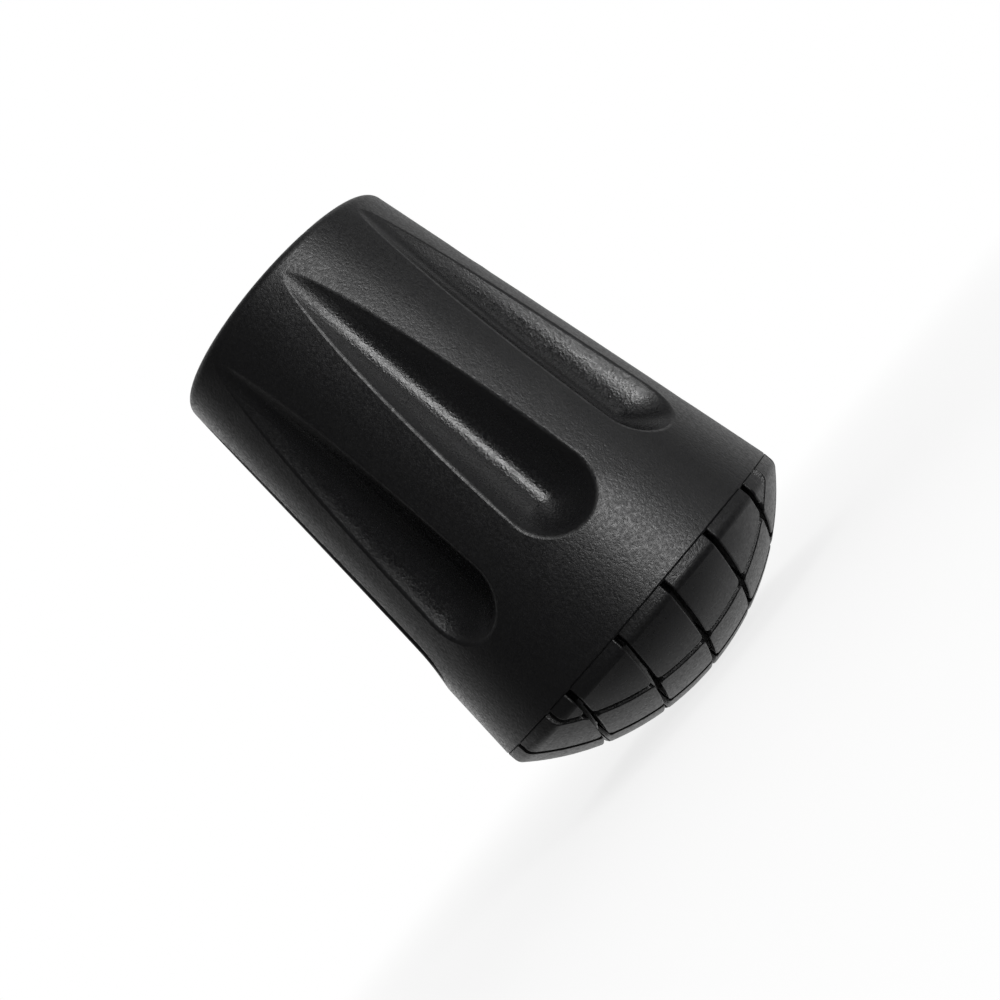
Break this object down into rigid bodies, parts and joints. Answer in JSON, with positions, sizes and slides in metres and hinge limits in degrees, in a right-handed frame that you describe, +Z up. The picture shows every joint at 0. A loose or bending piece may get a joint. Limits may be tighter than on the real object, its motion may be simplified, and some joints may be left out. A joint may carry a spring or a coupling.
{
  "type": "trekking pole tip",
  "caption": "Tapered black rubber tip with scooped flutes, a blind socket that grips a pole's end and a domed foot cut into square tread blocks.",
  "frame": {"origin": "on the ground, under the middle of the domed foot", "axes": "+Z up along the socket and out of its mouth; X and Y along the grooves of the tread, each facing a flute"},
  "size_m": [0.034, 0.034, 0.0492],
  "materials": {
    "rubber": "satin, with a fine moulded grain"
  },
  "bodies": {
    "root": {"rubber_tip": "rubber"}
  },
  "joints": []
}
